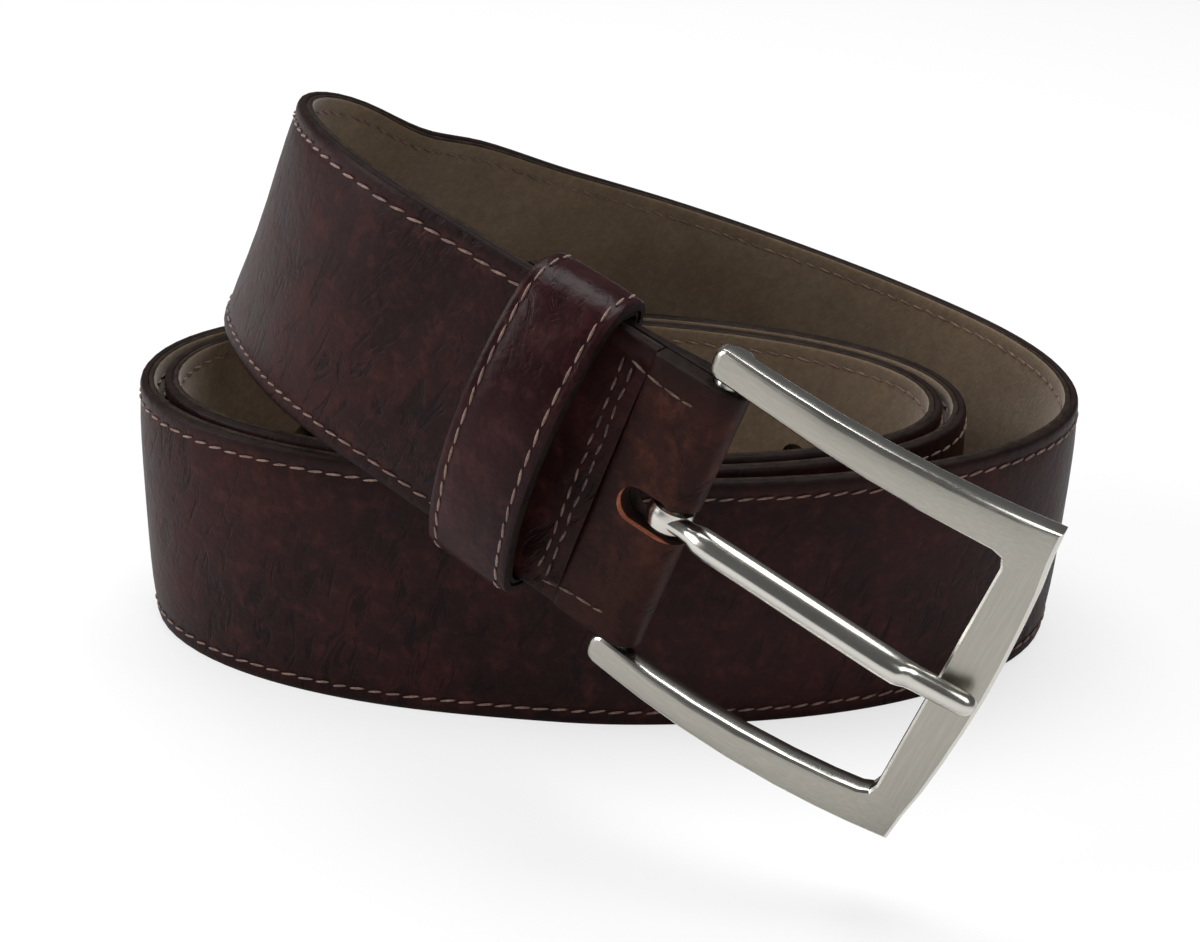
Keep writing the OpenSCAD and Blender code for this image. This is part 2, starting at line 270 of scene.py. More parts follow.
class Value:
    """A socket that Python's operators can work on."""

    def __init__(self, shade, socket):
        self.shade, self.socket = shade, socket

    def _math(self, operation, *others, clamp=False):
        inputs = {k: (o.socket if isinstance(o, Value) else o) for k, o in enumerate((self, *others))}
        return self.shade.node("ShaderNodeMath", {"operation": operation, "use_clamp": clamp}, inputs)

    def __add__(self, o): return self._math("ADD", o)
    def __sub__(self, o): return self._math("SUBTRACT", o)
    def __mul__(self, o): return self._math("MULTIPLY", o)
    def __truediv__(self, o): return self._math("DIVIDE", o)
    def __pow__(self, o): return self._math("POWER", o)
    __radd__, __rmul__ = __add__, __mul__

    def __rsub__(self, o):
        return self.shade.node("ShaderNodeMath", {"operation": "SUBTRACT"}, {0: o, 1: self.socket})

    def __abs__(self): return self._math("ABSOLUTE")
    def clamped(self): return self._math("ADD", 0.0, clamp=True)

    def ramp(self, low, high, start=0.0, end=1.0):
        """0 at low and 1 at high, smoothed, then stretched to run from start to end."""
        return self.shade.node("ShaderNodeMapRange", {"interpolation_type": "SMOOTHSTEP"},
                               {"Value": self, "From Min": low, "From Max": high, "To Min": start, "To Max": end})


class Shade:
    """One procedural material."""

    def __init__(self, name, **base):
        self.material = bpy.data.materials.new(name)
        self.material.use_nodes = True
        self.tree = self.material.node_tree
        self.tree.nodes.clear()
        self.surface = self.tree.nodes.new("ShaderNodeBsdfPrincipled")
        out = self.tree.nodes.new("ShaderNodeOutputMaterial")
        self.tree.links.new(self.surface.outputs[0], out.inputs["Surface"])
        for socket, value in base.items():
            self.surface.inputs[socket.replace("_", " ")].default_value = value

    def node(self, kind, settings=None, inputs=None, output=0):
        made = self.tree.nodes.new(kind)
        for key, value in (settings or {}).items():
            if key == "stops":
                ramp = made.color_ramp
                while len(ramp.elements) < len(value):
                    ramp.elements.new(0.5)
                for element, (place, colour) in zip(ramp.elements, value):
                    element.position, element.color = place, (*colour, 1)
            else:
                setattr(made, key, value)
        for key, value in (inputs or {}).items():
            if isinstance(value, Value):
                value = value.socket
            if isinstance(value, bpy.types.NodeSocket):
                self.tree.links.new(value, made.inputs[key])
            else:
                made.inputs[key].default_value = value
        return Value(self, made.outputs[output])

    def coords(self, kind="Object"):
        if kind == "flat":
            return self.node("ShaderNodeUVMap", {"uv_map": "flat"})
        return self.node("ShaderNodeTexCoord", output=kind)

    def stretched(self, at, scale, turn=0.0):
        """Features drawn out along the axes by scale, with those axes turned."""
        return self.node("ShaderNodeMapping", {"vector_type": "TEXTURE"},
                         {"Vector": at, "Scale": scale, "Rotation": (0, 0, math.radians(turn))})

    def noise(self, at, scale, detail=3.0, rough=0.55, distortion=0.0):
        return self.node("ShaderNodeTexNoise", None, {"Vector": at, "Scale": scale, "Detail": detail,
                                                      "Roughness": rough, "Distortion": distortion}, "Fac")

    def cells(self, at, scale, feature="F1", output="Distance"):
        return self.node("ShaderNodeTexVoronoi", {"feature": feature}, {"Vector": at, "Scale": scale}, output)

    def blend(self, amount, a, b, kind="MIX"):
        return self.node("ShaderNodeMix", {"data_type": "RGBA", "blend_type": kind},
                         {0: amount, 6: a if isinstance(a, Value) else (*a, 1),
                          7: b if isinstance(b, Value) else (*b, 1)}, 2)

    def set(self, **sockets):
        for name, value in sockets.items():
            self.tree.links.new(value.socket, self.surface.inputs[name.replace("_", " ")])
        return self

    def bump(self, height, depth_mm, strength=1.0, under=None):
        inputs = {"Height": height, "Distance": depth_mm * MM, "Strength": strength}
        if under is not None:
            inputs["Normal"] = under
        return self.node("ShaderNodeBump", None, inputs)


def make_leather(name, dark, mid, light, where="flat", shine=0.44, wrinkles=1.0):
    s = Shade(name, Specular_IOR_Level=0.1)
    at = s.coords("Object" if where == "fold" else where)
    patches = s.noise(at, 55, 3, 0.6, 0.4)
    mottle = s.noise(at, 300, 5, 0.68, 0.2)
    creases = s.noise(s.stretched(at, (1.0, 3.2, 1.3), -21), 430, 4, 0.62, 0.9)
    # where the creases gather, for their bump and their painted shade
    crease_areas = s.noise(at, 26, 2, 0.5).ramp(0.36, 0.56)
    fine = s.noise(at, 820, 3, 0.6, 0.5)
    grain = s.cells(at, 1250, "SMOOTH_F1")
    pores = s.noise(at, 2600, 2, 0.5)
    tone = s.blend(patches.ramp(0.34, 0.66), dark, mid)
    tone = s.blend(mottle.ramp(0.45, 0.72) * 0.55, tone, light)
    # painted shade: the leather is darkened along its creases, where shade falls into them
    tone = s.blend(creases.ramp(0.48, 0.36) * crease_areas * 0.75, tone, tuple(c * 0.35 for c in dark))
    tone = s.blend(grain.ramp(0.25, 0.5) * 0.2, tone, tuple(c * 0.5 for c in dark))
    if where == "fold":
        along = s.node("ShaderNodeVectorMath", {"operation": "DOT_PRODUCT"}, {0: at, 1: tuple(bar_along)}, "Value")
        high = s.node("ShaderNodeVectorMath", {"operation": "DOT_PRODUCT"}, {0: at, 1: tuple(bar_up)}, "Value")
        along, high = along - bar_along.dot(BAR_AT) * MM, high - bar_up.dot(BAR_AT) * MM
        # painted shade: the fold is darker towards the strap's end, next to the keeper
        tone = s.blend(along.ramp(-0.0045, -0.009) * 0.7, tone, tuple(c * 0.7 for c in dark))
        # painted shade: the fold is darker towards its lower end
        tone = s.blend(high.ramp(0.002, -0.015) * 0.75, tone, tuple(c * 0.7 for c in dark))
        tone = s.blend(high.ramp(0.0135, 0.0172) * 0.8, tone, tuple(c * 0.5 for c in dark))
    if where == "flat":
        across = s.node("ShaderNodeSeparateXYZ", None, {"Vector": at}, "Y")
        rim = abs(across).ramp(0.0156, 0.0174)
        tone = s.blend(rim * 0.7, tone, tuple(c * 0.5 for c in dark))
    s.set(Base_Color=tone, Roughness=mottle * 0.18 + patches * 0.16 + (shine - 0.14))
    height = grain * 0.5 + pores * 0.2 + creases.ramp(0.33, 0.5) * (crease_areas * 1.15 + 0.2) * wrinkles + fine * (0.7 * wrinkles)
    wide = s.bump(patches, 1.4, 0.25)
    s.set(Normal=s.bump(height, 0.085, 0.8, wide))
    return s.material


def make_suede(name, dark, light, where="flat"):
    s = Shade(name, Specular_IOR_Level=0.2, Sheen_Weight=0.25, Sheen_Roughness=0.6)
    at = s.coords(where)
    nap = s.noise(at, 700, 5, 0.7, 0.6)
    patches = s.noise(at, 60, 3, 0.6)
    fibres = s.noise(s.stretched(at, (1, 2.8, 1), 35), 2600, 3, 0.6)
    tone = s.blend(patches.ramp(0.3, 0.7), dark, light)
    tone = s.blend(nap.ramp(0.35, 0.65) * 0.35, tone, tuple(c * 0.55 for c in dark))
    tone = s.blend(fibres.ramp(0.45, 0.7) * 0.25, tone, tuple(min(1, c * 1.35) for c in light))
    s.set(Base_Color=tone, Roughness=nap * 0.15 + 0.75)
    s.set(Normal=s.bump(nap * 0.6 + fibres * 0.4, 0.16, 0.8))
    return s.material


def make_plain_leather(name, dark, light, rough, grain_scale=900, depth=0.08):
    s = Shade(name, Specular_IOR_Level=0.08)
    at = s.coords("Object")
    fibres = s.noise(at, grain_scale, 4, 0.65)
    s.set(Base_Color=s.blend(fibres.ramp(0.3, 0.7), dark, light), Roughness=fibres * 0.15 + rough,
          Normal=s.bump(fibres, depth, 0.8))
    return s.material


def make_raw_edge(name, deep_shade, dark, light):
    """Cut leather: its lip, just under the face, shows the raw hide; further in, the cut wall is darkened with painted
    shade.
    """
    s = Shade(name, Specular_IOR_Level=0.15)
    at = s.coords("Object")
    fibres = s.noise(at, 1400, 4, 0.65)
    height = s.node("ShaderNodeVectorMath", {"operation": "DOT_PRODUCT"}, {0: at, 1: tuple(bar_out)}, "Value")
    # below the lip, deeper in the slot, the wall takes the dark colour as painted shade
    lip = (height - bar_out.dot(BAR_AT) * MM).ramp(0.0019, 0.0022)
    s.set(Base_Color=s.blend(lip, deep_shade, s.blend(fibres.ramp(0.3, 0.7), dark, light)), Roughness=fibres * 0.15 + 0.7,
          Normal=s.bump(fibres, 0.12, 0.8))
    return s.material


def make_thread(name, dark, light):
    s = Shade(name, Specular_IOR_Level=0.3, Sheen_Weight=0.2)
    at = s.coords("Object")
    fuzz = s.noise(at, 900, 3, 0.6)
    twist = s.node("ShaderNodeTexWave", {"wave_type": "BANDS", "bands_direction": "DIAGONAL"},
                   {"Vector": at, "Scale": 900.0, "Distortion": 2.0, "Detail": 1.0}, "Fac")
    s.set(Base_Color=s.blend(fuzz.ramp(0.3, 0.7), dark, light), Roughness=fuzz * 0.2 + 0.6,
          Normal=s.bump(twist * 0.7 + fuzz * 0.3, 0.06, 0.7))
    return s.material


def make_nickel(name, colour, rough, brushed, along=(1, 0, 0)):
    """Nickel plate; along is the way its brush marks run."""
    s = Shade(name, Metallic=1.0)
    at = s.coords("Object")
    smears = s.noise(at, 160, 3, 0.6)
    dull = tuple(c * 0.82 for c in colour)
    if brushed:
        way = Vector(along).normalized()
        side = way.orthogonal().normalized()
        other = way.cross(side)
        lines = []
        for axis in (side, other):
            reading = s.node("ShaderNodeVectorMath", {"operation": "DOT_PRODUCT"}, {0: at, 1: tuple(axis)}, "Value")
            lines.append(reading)
        drift = s.node("ShaderNodeVectorMath", {"operation": "DOT_PRODUCT"}, {0: at, 1: tuple(way * 0.04)}, "Value")
        hair_at = s.node("ShaderNodeCombineXYZ", None, {0: lines[0], 1: lines[1], 2: drift})
        hair = s.noise(hair_at, 4200, 3, 0.7)
        s.set(Base_Color=s.blend(hair.ramp(0.35, 0.7) * 0.6 + smears * 0.3, dull, colour),
              Roughness=hair * 0.16 + smears * 0.08 + (rough - 0.1), Normal=s.bump(hair, 0.02, 0.45))
    else:
        scratches = s.noise(s.stretched(at, (1, 10, 1), 30), 2200, 2, 0.6)
        s.set(Base_Color=s.blend(smears, dull, colour), Roughness=smears * 0.08 + scratches * 0.05 + rough,
              Normal=s.bump(scratches, 0.01, 0.2))
    return s.material


BURGUNDY = ((0.0135, 0.0034, 0.0036), (0.0265, 0.0062, 0.0058), (0.057, 0.0165, 0.0128))
face_leather = make_leather("face_leather", *BURGUNDY)
fold_leather = make_leather("fold_leather", (0.018, 0.0044, 0.0034), (0.042, 0.0104, 0.0064), (0.092, 0.027, 0.0150),
                            "fold", 0.45, 0.8)
keeper_leather = make_leather("keeper_leather", (0.0145, 0.0034, 0.0044), (0.0255, 0.0062, 0.0070), (0.056, 0.017, 0.0165),
                              "Object", 0.33, 0.6)
lining_suede = make_suede("lining_leather", (0.145, 0.094, 0.053), (0.20, 0.137, 0.082))
edge_paint = make_plain_leather("edge_paint", (0.007, 0.0038, 0.0032), (0.018, 0.0105, 0.009), 0.55, 500, 0.12)
lining_edge = make_plain_leather("lining_edge", (0.012, 0.008, 0.006), (0.032, 0.022, 0.016), 0.6, 700, 0.15)
raw_edge = make_raw_edge("raw_edge", (0.020, 0.008, 0.006), (0.34, 0.10, 0.05), (0.58, 0.21, 0.12))
filler_fibre = make_plain_leather("filler", (0.10, 0.07, 0.05), (0.17, 0.12, 0.09), 0.85)
keeper_suede = make_plain_leather("keeper_lining", (0.006, 0.0055, 0.0045), (0.015, 0.0135, 0.011), 0.75, 1200, 0.1)
thread = make_thread("thread", (0.12, 0.066, 0.052), (0.25, 0.155, 0.122))
# painted shade: a darker thread for the cross stitches, which lie in shade by the keeper
shaded_thread = make_thread("shaded_thread", (0.035, 0.016, 0.012), (0.18, 0.105, 0.075))
satin = make_nickel("nickel", (0.405, 0.385, 0.34), 0.33, True, tuple(bar_along))
satin_up = make_nickel("nickel_up", (0.405, 0.385, 0.34), 0.33, True, tuple(bar_up))
polish = make_nickel("nickel_polished", (0.62, 0.60, 0.55), 0.15, False)

# ---------------------------------------------------------------- the strap

STATION = 2.5
FACE_HALF = (
    (0, 1.44), (4.5, 1.43), (8.5, 1.38), (11.3, 1.29), (13.2, 1.17), (14.4, 1.06), (14.95, 0.97),
    (15.3, 0.90), (15.65, 0.95), (16.2, 1.0), (16.75, 0.96), (17.2, 0.84), (17.44, 0.62), (17.5, 0.35),
    (17.47, 0.05), (17.35, -0.11), (13.5, -0.11), (12.6, 0.16))
LINING_HALF = (
    (0, -1.44), (6, -1.43), (10.5, -1.37), (13.2, -1.25), (14.6, -1.14), (15.0, -1.06), (15.3, -0.99),
    (15.6, -1.04), (16.3, -1.06), (16.9, -1.01), (17.28, -0.88), (17.44, -0.66), (17.44, -0.36),
    (17.32, -0.18), (13.5, -0.18), (12.6, -0.44))


def both_sides(half):
    return list(half) + [(-w, h) for w, h in reversed(half[1:])]


def strap_layer(half, edge_from):
    """A flat layer of the strap, from its tip to where it stops at the buckle. Slot 1 is its painted rim."""
    count = int(round(STRAP_LENGTH / STATION))
    stations = [lambda p, d=STRAP_LENGTH * k / count: Vector((d, p.y, p.z)) for k in range(count + 1)]
    bm = bmesh.new()
    ends = extruded(bm, closed_loop(bm, [(0, w, h) for w, h in both_sides(half)]), stations)
    capped(bm, ends)
    for face in bm.faces:
        if abs(face.calc_center_median().y) > edge_from or abs(face.normal.x) > 0.9:
            face.material_index = 1
    map_flat(bm)
    mesh = bpy.data.meshes.new("layer")
    bm.to_mesh(mesh)
    bm.free()
    return mesh


def hole_punches():
    bm = bmesh.new()
    for distance in HOLES:
        bmesh.ops.create_cone(bm, cap_ends=True, segments=28, radius1=HOLE_D / 2, radius2=HOLE_D / 2, depth=8,
                              matrix=Matrix.Translation((distance, 0, 0)))
    return bm


def wrapped(mesh):
    for v in mesh.vertices:
        v.co = onto_route(v.co)
    mesh.update()
    return mesh


face_mesh = wrapped(cut(strap_layer(FACE_HALF, 17.1), hole_punches(), 1))
finish_mesh("strap_face_leather", face_mesh, [face_leather, edge_paint], "strap", ["strap_face"])
lining_mesh = wrapped(cut(strap_layer(LINING_HALF, 17.1), hole_punches(), 1))
finish_mesh("strap_lining_leather", lining_mesh, [lining_suede, lining_edge], "strap", ["strap_lining"])


def stitch(bm, matrix, length=2.7, width=0.36, height=0.36):
    bmesh.ops.create_uvsphere(bm, u_segments=6, v_segments=4, radius=0.5,
                              matrix=matrix @ Matrix.Diagonal((length, width, height, 1)) @ Matrix.Rotation(math.pi / 2, 4, "Y"))


def edge_rows(side, height):
    """Both rows along the strap's edges, on its face (side 1) or its lining (side -1)."""
    rng = random.Random(7 + side)
    bm = bmesh.new()
    count = int((STRAP_LENGTH - 12) / STITCH_PITCH)
    for row in (-1, 1):
        for k in range(count):
            lean = Matrix.Rotation(math.radians(9 + rng.uniform(-4, 4)), 4, "Z")
            move = Matrix.Translation((4 + k * STITCH_PITCH, row * ROW_W + rng.uniform(-0.06, 0.06), height))
            stitch(bm, move @ lean, 2.2 + rng.uniform(-0.25, 0.15))
    return bm


finished("outer_edge_stitches", edge_rows(1, 1.03), [thread], "strap", ["outer_edge_stitching"], onto_route, 80)
finished("inner_edge_stitches", edge_rows(-1, -1.12), [thread], "strap", ["inner_edge_stitching"], onto_route, 80)

# ---------------------------------------------------------------- the fold round the bar

TURN_BACK = 27.0
SLOT_R = 2.2
SLOT_END = 3.3


def arc_points(radius, start, end, count):
    return [(radius * math.cos(math.radians(start + (end - start) * k / count)),
             radius * math.sin(math.radians(start + (end - start) * k / count))) for k in range(count + 1)]


def fold_outline():
    """The strap's end, doubled round the bar, with a thin line where its layers meet."""
    back = LINING_Z - 0.05
    return ([(-STRAP_STOP, 0.1), (-STRAP_STOP, FACE_Z - 0.4), (-7.75, FACE_Z - 0.12), (-7.3, FACE_Z + 0.02),
             (-6.5, FACE_Z + 0.06), (-4, FACE_Z + 0.03)]
            + arc_points(FOLD_IN_R + FOLD_T, 90, -90, 20)
            + [(-STRAP_STOP - 2, back - FOLD_T), (-TURN_BACK, back - FOLD_T), (-TURN_BACK, back), (-STRAP_STOP, back)]
            + [(-STRAP_STOP, 0.0), (-2.4, -0.1)] + arc_points(FOLD_IN_R, -170, 170, 32) + [(-2.4, 0.1)])


def fold_mesh():
    half = STRAP_W / 2 - 0.2
    columns = [-1, -0.985, -0.95, -0.85, -0.6, -0.4, -0.2, 0, 0.2, 0.4, 0.6, 0.85, 0.95, 0.985, 1]
    bm = bmesh.new()
    stations = [lambda p, w=half * c: Vector((p.x, w, p.z)) for c in columns]
    ends = extruded(bm, closed_loop(bm, [(x, 0, z) for x, z in fold_outline()]), stations)
    capped(bm, ends)
    rim = [e for e in bm.edges if all(abs(abs(v.co.y) - half) < 1e-4 for v in e.verts) and len(e.link_faces) == 2
           and abs(e.link_faces[0].normal.y) + abs(e.link_faces[1].normal.y) > 0.5]
    bmesh.ops.bevel(bm, geom=rim, offset=0.28, segments=2, profile=0.5, affect="EDGES", material=-1)
    for face in bm.faces:
        if abs(face.calc_center_median().y) > half - 0.2:
            face.material_index = 1
    mesh = bpy.data.meshes.new("fold")
    bm.to_mesh(mesh)
    bm.free()
    return mesh


def slot_cutter():
    """A round-ended bar through the fold, from the slot's round end to past the bar."""
    bm = bmesh.new()
    bmesh.ops.create_cone(bm, cap_ends=True, segments=40, radius1=SLOT_R, radius2=SLOT_R, depth=14,
                          matrix=Matrix.Translation((-SLOT_END, 0, 0)))
    for v in bm.verts:
        if v.co.x > -SLOT_END + 0.001:
            v.co.x = 8
    return bm


fold = cut(fold_mesh(), slot_cutter(), 2)
for v in fold.vertices:
    v.co = at_bar(v.co)
finish_mesh("buckle_fold_leather", fold, [fold_leather, edge_paint, raw_edge], "strap", ["buckle_fold"])

bm = bmesh.new()
rng = random.Random(3)
for row in (0, 1):
    for k in range(12):
        y = (k - 5.5) * 2.45 + 0.5 * row
        move = Matrix.Translation((-9.7 - 1.25 * row + rng.uniform(-0.1, 0.1), y, FACE_Z + 0.02))
        stitch(bm, move @ Matrix.Rotation(math.radians(90 + rng.uniform(-9, 9)), 4, "Z"), 1.9, 0.34, 0.3)
for side in (-1, 1):
    for x, y, turn in ((-9.0, 14.9, -14), (-6.7, 14.5, -8), (-4.3, 14.3, -4), (-1.9, 14.2, -3)):
        move = Matrix.Translation((x, side * y, FACE_Z + 0.08 - (0.16 if x > -2 else 0)))
        tip_down = Matrix.Rotation(math.radians(18 if x > -2 else 0), 4, "Y")
        stitch(bm, move @ Matrix.Rotation(math.radians(side * turn), 4, "Z") @ tip_down, 2.2, 0.36, 0.34)
# the cross stitches take the darker thread, as painted shade
finished("cross_stitches", bm, [shaded_thread], "strap", ["cross_stitching"], at_bar, 80)

# ---------------------------------------------------------------- the keeper

KEEPER_W = 11.5
KEEPER_AT = -24.5
KEEPER_IN_HALF = 17.9
KEEPER_LOW, KEEPER_HIGH = -1.7, 7.85


def keeper_path(grow):
    """The keeper's outline seen along the strap, as (across, out) points, from the middle of its back."""
    half, low = KEEPER_IN_HALF + grow, KEEPER_LOW - grow
    back_r, front_r, crown = 1.0 + grow, 3.5 + grow, 36.0 + grow
    crown_z = KEEPER_HIGH - 36.0
    front_z = crown_z + math.sqrt((crown - front_r) ** 2 - (half - front_r) ** 2)
    meet = math.degrees(math.atan2(front_z - crown_z, half - front_r))
    points = [(x + half - back_r, z + low + back_r) for x, z in arc_points(back_r, -90, 0, 6)]
    points += [(x + half - front_r, z + front_z) for x, z in arc_points(front_r, 0, meet, 8)]
    points += [(x, z + crown_z) for x, z in arc_points(crown, meet + 2, 90, 14)]
    return points + [(-y, z) for y, z in reversed(points[:-1])]


def keeper_ring(inner, outer, start, end, puff):
    """A closed band between two outlines, its rims rounded and its outside a little swollen."""
    profile = ((start, inner), (start, outer - 0.35), (start + 0.12, outer - 0.12), (start + 0.4, outer),
               (start + 0.8, outer + 0.02), (start + 1.3, outer - 0.08), (start + 1.9, outer + 0.06 + puff * 0.2),
               (start + 3.2, outer + 0.06 + puff * 0.7), ((start + end) / 2, outer + 0.06 + puff),
               (end - 3.2, outer + 0.06 + puff * 0.7), (end - 1.9, outer + 0.06 + puff * 0.2), (end - 1.3, outer - 0.08),
               (end - 0.8, outer + 0.02), (end - 0.4, outer), (end - 0.12, outer - 0.12), (end, outer - 0.35), (end, inner))
    bm = bmesh.new()
    loops = [closed_loop(bm, [(x, y, z) for y, z in keeper_path(grow)]) for x, grow in profile]
    for k, edges in enumerate(loops):
        bmesh.ops.bridge_loops(bm, edges=edges + loops[k - 1])
    bmesh.ops.recalc_face_normals(bm, faces=bm.faces)
    return bm


bm = keeper_ring(0.76, 1.8, KEEPER_AT, KEEPER_AT + KEEPER_W, 0.1)
for face in bm.faces:
    if abs(face.normal.x) > 0.75:
        face.material_index = 1
finished("keeper_leather_band", bm, [keeper_leather, edge_paint], "keeper", ["keeper_band"], at_bar)
bm = keeper_ring(0.05, 0.7, KEEPER_AT + 0.15, KEEPER_AT + KEEPER_W - 0.15, 0)
finished("keeper_leather_lining", bm, [keeper_suede], "keeper", ["keeper_lining"], at_bar)


def keeper_rows():
    bm = bmesh.new()
    rng = random.Random(11)
    path = [Vector((0, y, z)) for y, z in keeper_path(1.8)]
    for x in (KEEPER_AT + 1.3, KEEPER_AT + KEEPER_W - 1.3):
        travelled, next_stitch = 0.0, 1.5
        for a, b in zip(path, path[1:] + path[:1]):
            span = (b - a).length
            way = (b - a).normalized()
            out = Vector((0, way.z, -way.y))
            while next_stitch <= travelled + span:
                here = a + way * (next_stitch - travelled)
                basis = Matrix((way, Vector((1, 0, 0)), out)).transposed().to_4x4()
                lean = Matrix.Rotation(math.radians(5 + rng.uniform(-4, 4)), 4, "Z")
                stitch(bm, Matrix.Translation((x, here.y, here.z)) @ basis @ lean, 2.35)
                next_stitch += 2.6
            travelled += span
    return bm


finished("keeper_stitches", keeper_rows(), [thread], "keeper", ["keeper_stitching"], at_bar, 80)

# ---------------------------------------------------------------- the buckle

FRAME_BOW, BOW_R, BOW_X, ARM_TOP, FRAME_T = 3.0, 73.26, 18.35, 1.5, 3.0
FRAME_RAILS = (
    # the buckle's outer and inner edge, from one arm's end to the middle of its free bar
    ((-2.4, 20.3), (-2.4, 19.1)), ((-2.25, 20.85), (-2.25, 18.5)), ((-1.8, 21.3), (-1.8, 18.05)),
    ((-1.1, 21.5), (-1.1, 17.85)), ((6, 21.5), (6, 17.85)), ((12, 21.5), (12, 17.6)),
    ((18, 21.5), (18, 17.35)), ((24, 21.5), (24, 17.1)), ((29, 21.5), (29, 16.9)), ((33, 21.5), (32.2, 16.7)),
    ((37.55, 21.5), (33.28, 16.28)), ((37.85, 17.8), (33.7, 15.2)), ((38.4, 14), (33.7, 13)),
    ((38.75, 9.5), (33.7, 9)), ((39.0, 4.5), (33.7, 4.5)), ((39.1, 0), (33.7, 0)))


def frame_top(x):
    return ARM_TOP + FRAME_BOW - BOW_R + math.sqrt(BOW_R ** 2 - (x - BOW_X) ** 2)


def frame_bmesh():
    bm = bmesh.new()
    rails = [r for r in FRAME_RAILS] + [((ox, -oy), (ix, -iy)) for (ox, oy), (ix, iy) in reversed(FRAME_RAILS[:-1])]
    outer = [bm.verts.new((x, y, 0)) for (x, y), _ in rails]
    inner = [bm.verts.new((x, y, 0)) for _, (x, y) in rails]
    chains = [bm.edges.new((line[k], line[k + 1])) for line in (outer, inner) for k in range(len(rails) - 1)]
    bmesh.ops.bridge_loops(bm, edges=chains)
    drawn = bmesh.ops.extrude_face_region(bm, geom=list(bm.faces))["geom"]
    bmesh.ops.translate(bm, verts=[g for g in drawn if isinstance(g, bmesh.types.BMVert)], vec=(0, 0, -FRAME_T))
    bmesh.ops.recalc_face_normals(bm, faces=bm.faces)

    def level(edge, z):
        return all(abs(v.co.z - z) < 1e-5 for v in edge.verts) and len(edge.link_faces) == 2 and (
            abs(edge.link_faces[0].normal.z - edge.link_faces[1].normal.z) > 0.5)

    bmesh.ops.bevel(bm, geom=[e for e in bm.edges if level(e, 0)], offset=0.75, segments=3, profile=0.5,
                    affect="EDGES", material=-1)
    bmesh.ops.bevel(bm, geom=[e for e in bm.edges if level(e, -FRAME_T)], offset=0.6, segments=2, profile=0.5,
                    affect="EDGES", material=-1)
    for face in bm.faces:
        middle = face.calc_center_median()
        flat_top = face.normal.z > 0.9 or face.normal.z < -0.9
        face.material_index = (1 if middle.x > 32.5 and abs(middle.y) < 16 else 0) if flat_top else 2
    return bm


def bowed(p):
    """The flat buckle's points, bowed outwards; the arms' ends are rounded towards the bar."""
    x = p.x
    thin = 1.0
    if x < 0:
        thin = 0.86
    top = frame_top(max(x, -2.4))
    return at_buckle(Vector((x, p.y, top + p.z * thin + (0.15 if x < -1 else 0))))


frame_bm = frame_bmesh()
finished("buckle_frame_metal", frame_bm, [satin, satin_up, polish], "buckle", ["buckle_frame"], bowed, 30)

bm = bmesh.new()
bmesh.ops.create_cone(bm, cap_ends=True, segments=32, radius1=BAR_R, radius2=BAR_R, depth=42.4,
                      matrix=Matrix.Rotation(math.pi / 2, 4, "X"))
caps = [e for e in bm.edges if abs(e.verts[0].co.y - e.verts[1].co.y) < 1e-4]
bmesh.ops.bevel(bm, geom=caps, offset=0.35, segments=2, profile=0.5, affect="EDGES", material=-1)
finished("buckle_bar_metal", bm, [polish], "buckle", ["buckle_bar"], at_buckle)

# ---------------------------------------------------------------- the prong

EYE_R, EYE_W = 2.7, 2.5
PRONG_STATIONS = (
    # distance from the bar, height of the underside, width, thickness
    (0.6, 0.55, 2.2, 2.1), (2.4, 0.62, 2.3, 2.15), (3.4, 0.75, 2.5, 2.3), (4.0, 0.80, 2.95, 2.6), (4.7, 0.80, 3.3, 2.9),
    (6.0, 0.92, 3.4, 3.05), (12, 1.50, 3.4, 3.05), (20, 2.32, 3.4, 3.05), (28, 3.12, 3.35, 3.0), (29.9, 3.30, 3.3, 2.9),
    (30.6, 3.36, 3.2, 2.55), (31.2, 3.38, 3.05, 2.1), (32, 3.36, 2.95, 1.95), (35, 3.22, 2.9, 1.85),
    (37.4, 3.1, 2.8, 1.8), (38.2, 3.05, 2.2, 1.6), (38.6, 3.1, 1.2, 1.2))


def rod_section(steps=20):
    """A rod's outline, flattened underneath: (across, height above the underside), both from 0 to 1."""
    points = []
    for k in range(steps):
        a = 2 * math.pi * k / steps
        y, z = math.cos(a), math.sin(a)
        if z < 0:
            y, z = math.copysign(abs(y) ** 0.6, y), -abs(z) ** 0.9 * 0.55
        points.append((y / 2, (z + 0.55) / 1.55))
    return points


def prong_rod(bm):
    stations = [lambda p, x=x, low=low, w=w, t=t: Vector((x, p.y * w, low + p.z * t)) for x, low, w, t in PRONG_STATIONS]
    ends = extruded(bm, closed_loop(bm, [(0, y, z) for y, z in rod_section()]), stations)
    for edges in ends:
        bmesh.ops.contextual_create(bm, geom=edges)


def prong_eye(bm):
    half = EYE_W / 2
    profile = [(1.68, -half + 0.3), (1.95, -half), (2.5, -half), (EYE_R - 0.15, -half + 0.35), (EYE_R, -half + 0.9),
               (EYE_R, half - 0.9), (EYE_R - 0.15, half - 0.35), (2.5, half), (1.95, half), (1.68, half - 0.3)]
    edges = closed_loop(bm, [(r, y, 0) for r, y in profile])
    verts = list({v for e in edges for v in e.verts})
    bmesh.ops.spin(bm, geom=edges + verts, cent=(0, 0, 0), axis=(0, 1, 0), angle=2 * math.pi, steps=40, use_merge=True)


bm = bmesh.new()
prong_rod(bm)
prong_eye(bm)
bmesh.ops.recalc_face_normals(bm, faces=bm.faces)
finished("prong_metal", bm, [polish], "prong", ["prong"], at_buckle, 32)

# ---------------------------------------------------------------- construction pieces that stay

for node_name, material in (("strap_core", filler_fibre), ("keeper_staple", polish)):
    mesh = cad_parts[node_name].data
    mesh.materials.clear()
    mesh.materials.append(material)

# ---------------------------------------------------------------- floor, light and camera

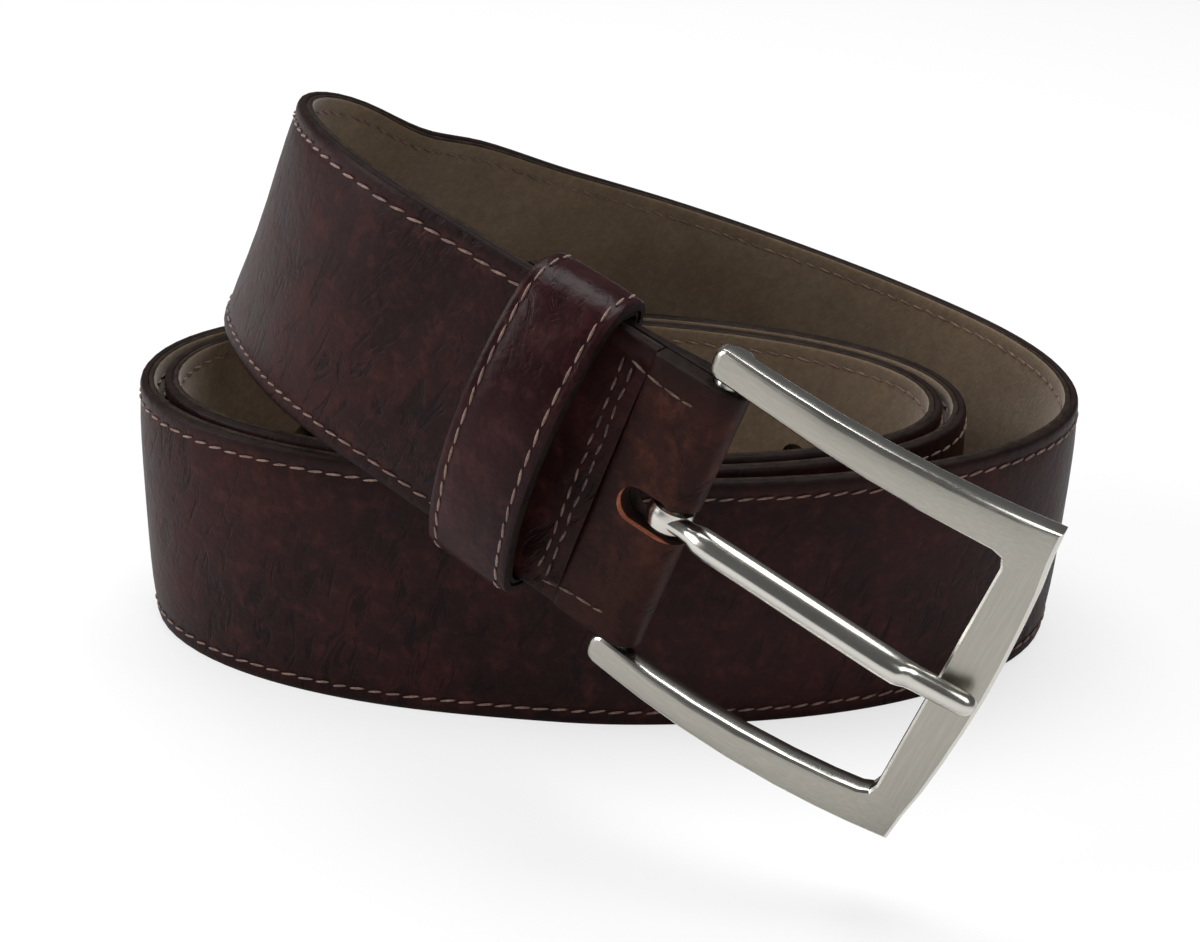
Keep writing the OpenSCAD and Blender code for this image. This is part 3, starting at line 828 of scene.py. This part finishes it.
bm = bmesh.new()
bmesh.ops.create_grid(bm, x_segments=1, y_segments=1, size=4.0)
floor_mesh = bpy.data.meshes.new("floor")
bm.to_mesh(floor_mesh)
bm.free()
floor = bpy.data.objects.new("floor", floor_mesh)
bpy.context.scene.collection.objects.link(floor)
floor_shade = Shade("floor", Roughness=0.9, Specular_IOR_Level=0.1)
speckle = floor_shade.noise(floor_shade.coords("Object"), 3, 2)
floor_shade.set(Base_Color=floor_shade.blend(speckle, (0.80, 0.80, 0.80), (0.83, 0.83, 0.83)))
glow = floor_shade.node("ShaderNodeEmission", None, {"Color": (1, 1, 1, 1), "Strength": 1.0}, "Emission")
seen_rays = floor_shade.node("ShaderNodeLightPath", None, None, "Is Camera Ray")
cover = floor_shade.tree.nodes.new("ShaderNodeMixShader")
out = next(n for n in floor_shade.tree.nodes if n.type == "OUTPUT_MATERIAL")
floor_shade.tree.links.new((seen_rays * 0.7).socket, cover.inputs[0])
floor_shade.tree.links.new(floor_shade.surface.outputs[0], cover.inputs[1])
floor_shade.tree.links.new(glow.socket, cover.inputs[2])
floor_shade.tree.links.new(cover.outputs[0], out.inputs["Surface"])
floor_mesh.materials.append(floor_shade.material)


def area_light(name, place, target, size, watts, colour=(1, 1, 1)):
    data = bpy.data.lights.new(name, "AREA")
    data.shape = "RECTANGLE"
    data.size, data.size_y = size
    data.energy = watts
    data.color = colour
    lamp = bpy.data.objects.new(name, data)
    lamp.location = place
    lamp.rotation_euler = (Vector(target) - Vector(place)).to_track_quat("-Z", "Y").to_euler()
    bpy.context.scene.collection.objects.link(lamp)


area_light("window_left", (-0.85, -0.15, 0.45), (-0.02, 0, 0.03), (0.5, 0.6), 7.0)
area_light("overhead", (0.0, 0.25, 0.9), (0, 0, 0.02), (0.8, 0.5), 9.0)
area_light("front_fill", (0.45, -0.7, 0.6), (0, 0, 0.03), (0.4, 0.4), 2.0)

world = bpy.data.worlds.new("studio")
bpy.context.scene.world = world
world.use_nodes = True
tree = world.node_tree
tree.nodes.clear()
out = tree.nodes.new("ShaderNodeOutputWorld")
mix = tree.nodes.new("ShaderNodeMixShader")
seen = tree.nodes.new("ShaderNodeBackground")
lit = tree.nodes.new("ShaderNodeBackground")
seen.inputs["Color"].default_value = (1, 1, 1, 1)
seen.inputs["Strength"].default_value = 1.0
lit.inputs["Color"].default_value = (0.95, 0.97, 1, 1)
lit.inputs["Strength"].default_value = 0.115
rays = tree.nodes.new("ShaderNodeLightPath")
most = tree.nodes.new("ShaderNodeMath")
most.operation = "MAXIMUM"
tree.links.new(rays.outputs["Is Camera Ray"], most.inputs[0])
tree.links.new(rays.outputs["Is Transmission Ray"], most.inputs[1])
tree.links.new(most.outputs[0], mix.inputs[0])
tree.links.new(lit.outputs[0], mix.inputs[1])
tree.links.new(seen.outputs[0], mix.inputs[2])
tree.links.new(mix.outputs[0], out.inputs["Surface"])

bpy.context.scene.view_settings.view_transform = "Standard"

CAMERA_AT = Vector((-0.0015, -0.21015, 0.13121))
tilt, roll = math.radians(26), math.radians(2.5)
ahead = Vector((0, math.cos(tilt), -math.sin(tilt)))
level_right, level_up = Vector((1, 0, 0)), Vector((0, math.sin(tilt), math.cos(tilt)))
right = level_right * math.cos(roll) + level_up * math.sin(roll)
up = level_up * math.cos(roll) - level_right * math.sin(roll)
camera_data = bpy.data.cameras.new("camera")
camera_data.sensor_width = 36
camera_data.lens = 54
camera_data.clip_start = 0.01
camera = bpy.data.objects.new("camera", camera_data)
camera.matrix_world = Matrix.Translation(CAMERA_AT) @ Matrix((right, up, -ahead)).transposed().to_4x4()
bpy.context.scene.collection.objects.link(camera)
bpy.context.scene.camera = camera
